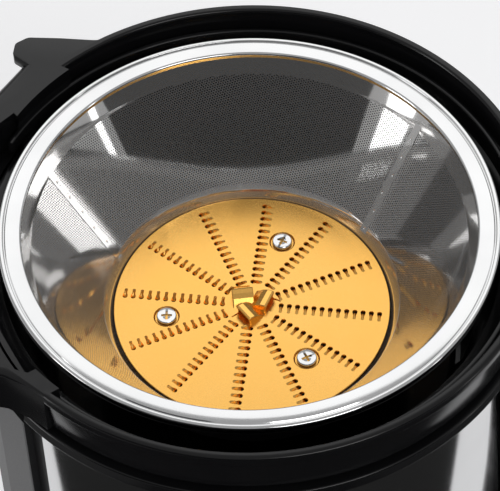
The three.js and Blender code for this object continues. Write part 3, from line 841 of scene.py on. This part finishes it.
def beside(piece, radius, degrees):
    """Moves a piece from the axis out to a place on a circle."""
    x, y = on_circle(radius, degrees)
    return shape(piece, Matrix.Translation((x * MM, y * MM, 0)))


def screw_recess(degrees):
    """The sunk seat of a screw, with a sloping wall."""
    seat = turned("screw_seat", [(0, -39.15), (3.35, -39.15), (3.95, -38.4), (3.95, -38), (0, -38)], 40)
    return beside(seat, SCREW_CIRCLE, degrees)


def louvre(degrees):
    """A raised hood with an open mouth, pressed up from the plate near its middle."""
    hood = pulled("hood", [
        (-2.4, -0.4), (-1.6, 0.25), (0.2, 1.7), (1.6, 2.35), (3.0, 2.5), (3.7, 2.3), (3.5, 1.4), (3.2, -0.4),
    ], -3.1, 3.1, 0.0, "Y")
    with editing(hood):
        bpy.ops.transform.translate(value=(1.2 * MM, 2.3 * MM, 0))
    soften(hood, 0.3, 3)
    mouth = pulled("mouth", [(0.4, -0.6), (1.4, 1.2), (3.2, 1.9), (6, 1.9), (6, -0.3)], -2.45, 2.45, 0.0, "Y")
    shape(mouth, Matrix.Translation((1.2 * MM, 2.3 * MM, 0)))
    lift = Matrix.Translation((0, 0, RIM_TOP + DISC_FACE * MM))
    return shape(hood, spun_by(degrees) @ lift), shape(mouth, spun_by(degrees) @ lift)


disc = plate("shredding_disc", DISC_RADIUS, DISC_FACE - DISC_THICKNESS, DISC_FACE)
apply_modifier(disc, "BEVEL", width=0.2 * MM, segments=2, limit_method="ANGLE", angle_limit=math.radians(40))
hollows = along_rows(hollow_cutter(), "hollows")
combine(disc, [joined([hollows, *[screw_recess(angle) for angle in SCREW_ANGLES]], "hollows")], "DIFFERENCE")
hoods = [louvre(angle) for angle in CUTTER_ANGLES]
for hood, mouth in hoods:
    combine(disc, hood, "UNION")
for hood, mouth in hoods:
    combine(disc, mouth, "DIFFERENCE")
teeth = along_rows(spike(), "spikes")
combine(disc, teeth, "UNION")
deliver(smooth(disc, 12), gold_coating, "basket", "gold_coated_steel", "grating_disc")

# %% [markdown]
# ## The disc's screws
#
# Three pan-head screws with cross recesses hold the disc to the hub. The head is turned from its profile.
# The recess is cut by two crossed bars that taper downwards, as a punch makes it.

# %% Screws
def cross_cutter(top):
    """Two crossed bars, wider at the top than at the bottom."""
    bars = []
    for turn in (0, 90):
        bar = pulled("bar", [(-0.9, -2.2), (-1.7, 0.3), (1.7, 0.3), (0.9, -2.2)], -0.36, 0.36, 0.0, "Y")
        bars.append(shape(bar, Matrix.Translation((0, 0, RIM_TOP + top * MM)) @ spun_by(turn)))
    return bars


def disc_screw(number, degrees):
    """A pan-head screw with a cross recess, at its place on the disc."""
    head = -38.85
    screw = turned(f"cross_screw_{number}", [
        (0, -47.9), (0.75, -47.9), (0.75, -45.4), (1.4, -45.1), (1.4, head - 0.3), (2.75, head),
        *arc((2.35, head + 0.45), 0.55, -20, 60, 4), *arc((0, head - 6.2), 7.15, 78, 90, 4),
    ], 48)
    combine(screw, cross_cutter(head + 0.95), "DIFFERENCE")
    shape(screw, spun_by(38 + 25 * number))
    beside(screw, SCREW_CIRCLE, degrees)
    deliver(smooth(screw), polished_steel, "basket", "polished_steel", f"disc_screw_{number}")


for number, degrees in enumerate(SCREW_ANGLES, 1):
    disc_screw(number, degrees)

# %% [markdown]
# ## The plastic and rubber finishes
#
# The bowl is glossy black plastic, moulded in a polished tool. Close up it has a slight waviness and
# wiping marks that only show in the shine. The base's inner parts have a dull sparked grain, and rubber is
# duller still.

# %% Plastic and rubber finishes
def gloss_plastic(position):
    waves = position.noise(60, 2.0)
    wiping = position.noise(420, 3.0, (1, 1, 6))
    return {
        "Base Color": waves.between((0.003, 0.003, 0.0035), (0.006, 0.006, 0.0065)),
        "Roughness": 0.10 + wiping * 0.10 + waves * 0.05,
        "Normal": waves.bump(0.08, 0.0006),
    }


def grained(dark, light, scale, roughness, depth):
    """A finish with a fine sparked or moulded grain."""
    def make(position):
        grain = position.noise(scale, 3.0)
        clouds = position.noise(25, 3.0)
        return {
            "Base Color": clouds.between(dark, light),
            "Roughness": roughness + grain * 0.15 + clouds * 0.05,
            "Normal": grain.bump(0.3, depth),
        }
    return make


gloss_black = finish("gloss black plastic", gloss_plastic, Specular_IOR_Level=0.32)
sparked_black = grained((0.014, 0.014, 0.015), (0.022, 0.022, 0.023), 2400, 0.32, 6e-5)
satin_black = finish("satin black plastic", sparked_black)
fine_white = grained((0.62, 0.61, 0.58), (0.70, 0.69, 0.66), 1800, 0.35, 4e-5)
white_plastic = finish("white plastic", fine_white)
dull_black = grained((0.012, 0.012, 0.012), (0.02, 0.02, 0.02), 1500, 0.65, 8e-5)
rubber = finish("black rubber", dull_black)

# %% [markdown]
# ## The juice bowl
#
# The bowl is one moulding: a juice chamber under the basket, a pulp ledge with a rib round it, a rolled
# lip, and a chute at the rear through which the pulp leaves. It is turned from one profile, then the
# chute's shell is joined on and its channel is cut, in the order in which a pattern maker would do it.

# %% The bowl's round body
LIP = LIP_RADIUS / MM
LIP_RISE = 2.4
SKIRT_BOTTOM = -11.9
LEDGE_EDGE = 70.3
CHANNEL_FLOOR = -6
RIB_INNER = 75.2
RIB_OUTER = 76.8

bowl = turned("pulp_bowl", [
    (11.2, -62), (11.2, -52.4), *arc((12.3, -52.6), 0.6, 150, 30, 3), (13.4, -52.4), (13.4, -59),
    (50, -60), *arc((55.5, -51.5), 7, -80, -25, 6), (69.6, -16), (LEDGE_EDGE - 0.15, -12.9),
    *arc((LEDGE_EDGE + 0.6, -12.6), 0.6, 170, 110, 3), (RIB_INNER, -9.9), (RIB_INNER + 0.1, CHANNEL_FLOOR),
    (77.8, CHANNEL_FLOOR), *arc((77.8, CHANNEL_FLOOR + 0.5), 0.5, -90, 0, 3), (78.5, 1.4),
    *arc((79.4, 1.5), 0.9, 180, 90, 5), *arc((LIP - 0.9, 1.5), 0.9, 90, 0, 5), (LIP, -0.2),
    *arc((LIP - 0.45, -0.45), 0.45, 0, -90, 3), (LIP - 0.75, -1.0), (79.95, -11.5),
    *arc((79.55, -11.5), 0.4, 0, -90, 3), (77.8, SKIRT_BOTTOM), (77.4, -9), (73.4, -12.4),
    (71.8, -16.5), (64.6, -51), (59.4, -60), (50, -62),
], 180)

# %% [markdown]
# ## The pulp chute
#
# Seen from above, the chute's near wall leaves the ring on a tangent. Its far wall is a broad rounded
# shoulder. The outline is drawn by its corners and pulled up, and then its top edges are rounded.

# %% The chute
REACH = REAR / MM
chute_shell = pulled("chute_shell", [
    (-40, -50), (-55.4, -59.4), (-60.2, -55.5), (-66.2, -52.1), (-74, -50.2), (-90, -48.6), (REACH, -48),
    (REACH, 34), (-90, 36), (-80, 41), (-72.5, 49.6), (-66, 59), (-56, 60), (-40, 50),
], -40, LIP_RISE)
chute_side = pulled("chute_side", [
    (-30, LIP_RISE), (REACH - 1, LIP_RISE), (REACH - 1, -31), (-104.8, -31), (-103.2, -26), (-99.6, -19.8),
    (-94, -15.8), (-86.5, -13.6), (-76, -12.8), (-30, -12.8),
], -90, 90, 0.0, "Y")
combine(chute_shell, chute_side, "INTERSECT")


def bevel_edges(piece, test, width, segments=5):
    """Rounds only the edges whose two ends pass a test, given in millimetres."""
    mesh = piece.data
    passes = [test(vertex.co / MM) for vertex in mesh.vertices]
    for edge in mesh.edges:
        edge.select = passes[edge.vertices[0]] and passes[edge.vertices[1]]
    with editing_chosen(piece, "EDGE"):
        bpy.ops.mesh.bevel(offset=width * MM, segments=segments, affect="EDGES", clamp_overlap=True)


bevel_edges(chute_shell, lambda at: at.z > LIP_RISE - 0.1 and at.y > 30 and at.x < -64, 3.4)
bevel_edges(chute_shell, lambda at: at.z > LIP_RISE - 0.1 and at.y < -40 and at.x < -54, 0.9, 3)

channel = pulled("chute_channel", [
    (-40, -38), (-57.4, -50.2), (-59.6, -51.5), (-65.4, -49.4), (-74, -47.6), (-90, -46),
    (REACH - 5, -45.4), (REACH - 5, 23.6), (-90, 24.6), (-80, 28.4), (-70.7, 36.6), (-66.6, 40.6),
    (-60, 32), (-40, 20),
], -40, 20)
channel_side = pulled("channel_side", [
    (-30, 21), (REACH - 6, 21), (REACH - 6, -35), (-107.6, -35), (-107.6, -30), (-106, -25),
    (-102, -18), (-96, -13.6), (-88, -11.2), (-76, -10.4), (-30, -10.4),
], -90, 90, 0.0, "Y")
combine(channel, channel_side, "INTERSECT")
for part in (chute_shell, channel):
    at_rim(part)
combine(channel, plate("keep_clear", LEDGE_EDGE + 2.4, -50, 30, 120), "DIFFERENCE")
combine(chute_shell, plate("keep_clear", 76.5, -50, 10, 120), "DIFFERENCE")
combine(bowl, chute_shell, "UNION")
combine(bowl, channel, "DIFFERENCE")

# %% [markdown]
# ## The rib, the ear and the hole for the spout
#
# A low rib stands along the pulp ledge and ends on both sides of the chute, where a wedge is cut from it.
# Beside the chute an ear sticks out, the catch on which the lid's clamp holds.

# %% Rib, ear and spout hole
RIB_TOP = -3.1


def sector_block(start, end, low, high):
    """A wedge of a tall disc, between two angles, used to keep or remove part of a ring."""
    corners = [on_circle(120, start + (end - start) * i / 8) for i in range(9)]
    return at_rim(pulled("sector", [(0, 0), *corners], low, high))


rib = turned("rib", [
    (RIB_INNER, CHANNEL_FLOOR - 1), (RIB_OUTER, CHANNEL_FLOOR - 1), (RIB_OUTER, RIB_TOP - 0.5),
    *arc((RIB_OUTER - 0.5, RIB_TOP - 0.5), 0.5, 0, 90, 4),
    *arc((RIB_INNER + 0.5, RIB_TOP - 0.5), 0.5, 90, 180, 4),
], 180)
combine(rib, sector_block(153.3, 220, -20, 10), "DIFFERENCE")
combine(bowl, rib, "UNION")

ear = pulled("ear", [
    (-44, 68.4), (-54, 69.6), (-63.5, 70.3), (-67.2, 68), (-67.8, 63.5), (-60.5, 57.5), (-56, 55.6),
    (-40, 68.6),
], -1.4, LIP_RISE, 0.8)
soften(ear, 0.5, 3)
ear_web = pulled("ear_web", [(-50, 64), (-60, 65), (-65, 61), (-62, 55), (-50, 60)], SKIRT_BOTTOM, 0)
for part in (ear, ear_web):
    at_rim(part)
    combine(part, plate("keep_clear", 79.2, -20, 10, 120), "DIFFERENCE")
    combine(bowl, part, "UNION")
spout_hole = pulled("spout_hole", [(-10, -57), (10, -57), (10, -44), (-10, -44)], 55, 75, 0.0, "X")
combine(bowl, at_rim(spout_hole), "DIFFERENCE")
deliver(smooth(bowl, 38), gloss_black, "bowl", "gloss_black", "juice_bowl")

# %% [markdown]
# ## The base's steel panels and black trims
#
# Two polished sheets wrap the motor base, one on each side, and run behind the front column. Over them a
# glossy trim closes the joint under the bowl. Each is turned as a full ring, and what it leaves free is cut
# away, so the cut ends are closed walls.

# %% Panels and trims
PANEL_OUTER = 80.8
PANEL_INNER = 80.05
TRIM_LOW = -17.7
TRIM_HIGH = -14.2
PANEL_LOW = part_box("side_panel_near")[0][2] / MM - RIM_TOP / MM
REAR_EDGE = 135.5
TRIM_REAR = 139.5
COLUMN_SIDES = [(29, -230), (30, -191), (32.5, -141), (38, -83), (43, -48), (46.5, -21), (48, -14.2)]


def column_block(grow, x0, x1, low=-240, high=0):
    """The front column's outline as a block along X: narrow at the foot, wide under the spout."""
    right = [(half + grow, z) for half, z in COLUMN_SIDES]
    right[0] = (right[0][0], low)
    right[-1] = (right[-1][0], high)
    left = [(-half, z) for half, z in reversed(right)]
    return at_rim(pulled("column_block", right + left, x0, x1, 0.0, "X"))


def side_panel(name, start, end, node):
    """One polished sheet between the front column and the rear column."""
    sheet = turned(name, [
        (PANEL_INNER, PANEL_LOW), (PANEL_OUTER - 0.1, PANEL_LOW), (PANEL_OUTER, PANEL_LOW + 0.2),
        (PANEL_OUTER, -18.4), (PANEL_INNER, -18.4),
    ], 240)
    combine(sheet, sector_block(start, end, -240, 10), "INTERSECT")
    combine(sheet, column_block(0.3, 0, 140), "DIFFERENCE")
    deliver(smooth(sheet, 30), polished_steel, "base", "polished_steel", node)


def top_trim(name, start, end, node):
    """The glossy ring that closes the joint between the panels and the bowl."""
    ring = turned(name, [
        (76.9, TRIM_LOW), (81.6, TRIM_LOW), *arc((81.3, TRIM_LOW + 0.7), 0.7, -30, 30, 3),
        *arc((80.9, TRIM_HIGH - 0.7), 0.7, 10, 90, 4), (76.9, TRIM_HIGH),
    ], 200)
    combine(ring, sector_block(start, end, -40, 10), "INTERSECT")
    notch = pulled("notch", [(-15.3, -70), (15.3, -70), (15.3, 0), (-15.3, 0)], 50, 130, 0.0, "X")
    combine(ring, at_rim(notch), "DIFFERENCE")
    deliver(smooth(ring), gloss_black, "base", "gloss_black", node)


side_panel("steel_panel_near", 360 - REAR_EDGE, 360, "side_panel_near")
side_panel("steel_panel_far", 0, REAR_EDGE, "side_panel_far")
top_trim("trim_ring_near", 360 - TRIM_REAR, 352, "top_trim_near")
top_trim("trim_ring_far", 8, TRIM_REAR, "top_trim_far")

# %% [markdown]
# ## The front column, the spout and the knob
#
# The column carries the speed knob and frames the juice spout. It is part of a cone, wider at its foot,
# trimmed to the outline seen from the front. The spout is a covered trough that drops at its tip.

# %% The front column
COLUMN_TOP_RADIUS = 85
COLUMN_FOOT_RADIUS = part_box("front_column")[1][0] / MM
COLUMN_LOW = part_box("front_column")[0][2] / MM - RIM_TOP / MM
COLUMN_HIGH = -18
COLUMN_WALL = 2.6
KNOB_DROP = -126
KNOB_Z = RIM_TOP + KNOB_DROP * MM


def cone_body(name, inwards):
    """The solid of the column's cone, made smaller by a wall where it is the hollow."""
    return turned(name, [
        (0, COLUMN_LOW + inwards), (COLUMN_FOOT_RADIUS - inwards, COLUMN_LOW + inwards),
        (COLUMN_TOP_RADIUS - inwards, COLUMN_HIGH - inwards), (0, COLUMN_HIGH - inwards),
    ], 160)


def rod_along_x(name, radius, x0, x1, z, sides=64):
    """A round bar that lies along X, in millimetres, at a height above the bench in metres."""
    bpy.ops.object.select_all(action="DESELECT")
    middle = ((x0 + x1) / 2 * MM, 0, z)
    bpy.ops.mesh.primitive_cylinder_add(vertices=sides, radius=radius * MM, depth=(x1 - x0) * MM,
                                        location=middle, rotation=(0, math.pi / 2, 0))
    piece = bpy.context.object
    piece.name = name
    bpy.ops.object.transform_apply(location=True, rotation=True)
    return piece


column = cone_body("black_column", 0)
combine(column, column_block(0, 30, 140), "INTERSECT")
hollow = cone_body("column_hollow", COLUMN_WALL)
combine(hollow, column_block(-COLUMN_WALL, 30, 140, COLUMN_LOW + COLUMN_WALL), "INTERSECT")
spout_notch = pulled("notch", [(-15.4, -63.4), (15.4, -63.4), (15.4, 0), (-15.4, 0)], 50, 130, 0.0, "X")
at_rim(spout_notch)
behind = plate("behind", 81.7, -240, 10, 200)
knob_hole = rod_along_x("knob_hole", 6, 80, 130, KNOB_Z)
combine(column, [hollow, behind, spout_notch, knob_hole], "DIFFERENCE")
soften(column, 0.8, 3, 50)
deliver(column, gloss_black, "base", "gloss_black", "front_column")

# %% The spout
spout = pulled("juice_trough", [
    (60.5, -57), (64, -58.4), (95, -61), (98.5, -63.5), (101, -68), (107, -70), (108, -66), (107.6, -60),
    (105.5, -53), (102, -46.5), (97, -42.4), (92, -42), (60.5, -42),
], -11.6, 11.6, 0.0, "Y")
soften(spout, 0.9, 3, 50)
spout_bore = pulled("trough_bore", [
    (40, -55.2), (66, -56.4), (96, -59), (100, -61.5), (103, -66), (116, -76), (116, -60), (104, -52),
    (99, -45.5), (95, -44), (40, -44),
], -9.6, 9.6, 0.0, "Y")
bowl_side = turned("bowl_side", [
    (0, -70), (66, -70), (66, -62), (66.2, -52), (67, -48), (68, -43), (69.5, -30), (0, -30),
], 120)
for part in (spout, spout_bore):
    at_rim(part)
combine(spout, [spout_bore, bowl_side], "DIFFERENCE")
deliver(smooth(spout, 30), gloss_black, "bowl", "gloss_black", "juice_spout")

# %% [markdown]
# ## The speed knob
#
# The knob is a round skirt with a grip bar across its face and a pale pointer line. Its edge has fine ribs,
# cut by one small notch that is copied round.

# %% The speed knob
KNOB_RADIUS = 19
KNOB_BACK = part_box("speed_knob")[0][0] / MM
KNOB_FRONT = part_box("speed_knob")[1][0] / MM
KNOB_RIBS = 40
knob = rod_along_x("speed_dial", KNOB_RADIUS, KNOB_BACK, KNOB_FRONT - 3, KNOB_Z, 120)
apply_modifier(knob, "BEVEL", width=1.2 * MM, segments=4, limit_method="ANGLE", angle_limit=math.radians(40))
notches = []
for number in range(KNOB_RIBS):
    notch = rod_along_x("notch", 0.45, KNOB_BACK - 1, KNOB_FRONT - 4.6, 0, 8)
    angle = 2 * math.pi * number / KNOB_RIBS
    place = Matrix.Translation((0, 0, KNOB_Z)) @ Matrix.Rotation(angle, 4, "X")
    notches.append(shape(notch, place @ Matrix.Translation((0, 0, (KNOB_RADIUS + 0.1) * MM))))
combine(knob, joined(notches, "notches"), "DIFFERENCE")
grip = pulled("grip", [(-3.5, -17), (3.5, -17), (3.5, 17), (-3.5, 17)], KNOB_FRONT - 4, KNOB_FRONT, 2.6, "X")
soften(grip, 0.8, 3, 50)
combine(knob, shape(grip, Matrix.Translation((0, 0, KNOB_Z))), "UNION")
socket = rod_along_x("socket", 3.3, 60, KNOB_BACK + 3.5, KNOB_Z, 24)
combine(knob, socket, "DIFFERENCE")
groove = pulled("groove", [(-0.5, 6), (0.5, 6), (0.5, 15), (-0.5, 15)],
                KNOB_FRONT - 0.25, KNOB_FRONT + 1, 0.0, "X")
combine(knob, shape(groove, Matrix.Translation((0, 0, KNOB_Z))), "DIFFERENCE")
deliver(smooth(knob, 30), gloss_black, "knob", "gloss_black", "speed_knob")
pointer = pulled("pointer_line", [(-0.42, 6.1), (0.42, 6.1), (0.42, 14.9), (-0.42, 14.9)],
                 KNOB_FRONT - 0.2, KNOB_FRONT - 0.02, 0.3, "X")
shape(pointer, Matrix.Translation((0, 0, KNOB_Z)))
deliver(smooth(pointer), white_plastic, "knob", "white_plastic")

# %% [markdown]
# ## The pieces that keep their CAD shape
#
# The motor, its brackets, the feet and the base shell are right as they are. They only need their finish.
# Windings show their turns of wire as fine lines, cast alloy is rough and grey, and turned steel has rings.

# %% Finishes of the inner pieces
def turned_metal(colour, roughness):
    """Metal with the fine rings of a lathe or the lines of a stack of sheets."""
    def make(position):
        rings = round_marks(position, 1400)
        clouds = position.noise(60, 3.0)
        return {
            "Base Color": clouds.between(tuple(0.8 * v for v in colour), colour),
            "Roughness": roughness + rings * 0.15,
            "Normal": rings.bump(0.2, 0.00005),
        }
    return make


def wound_wire(position):
    """Turns of enamelled wire as fine waves."""
    waves = position.add("ShaderNodeTexWave", {"bands_direction": "Z"},
                         {"Vector": position, "Scale": 320, "Distortion": 2.0})
    clouds = position.noise(80, 2.0)
    return {
        "Base Color": clouds.between((0.36, 0.12, 0.05), (0.62, 0.26, 0.12)),
        "Roughness": 0.25 + waves * 0.2,
        "Normal": waves.bump(0.5, 0.0002),
    }


FINISH_OF_SLOT = {
    "gloss_black": gloss_black,
    "satin_black": satin_black,
    "white_plastic": white_plastic,
    "rubber": rubber,
    "polished_steel": polished_steel,
    "filter_steel": filter_steel,
    "gold_coated_steel": gold_coating,
    "cast_alloy": finish("cast alloy", turned_metal((0.55, 0.56, 0.57), 0.4), Metallic=1.0),
    "machined_steel": finish("machined steel", turned_metal((0.48, 0.48, 0.49), 0.25), Metallic=1.0),
    "copper_winding": finish("copper winding", wound_wire, Metallic=0.6),
    "brass": finish("brass", turned_metal((0.72, 0.52, 0.22), 0.25), Metallic=1.0),
    "carbon": finish("carbon", grained((0.015, 0.015, 0.015), (0.03, 0.03, 0.03), 1600, 0.5, 5e-5)),
}
SLOT_OF_NODE = {part["node"]: part["material_slot"] for part in frame["record"]["subparts"]}
for name, node in frame["nodes"].items():
    for holder in node.material_slots:
        holder.material = FINISH_OF_SLOT[SLOT_OF_NODE[name]]
print("finished", len(frame["nodes"]), "CAD pieces by their slots")
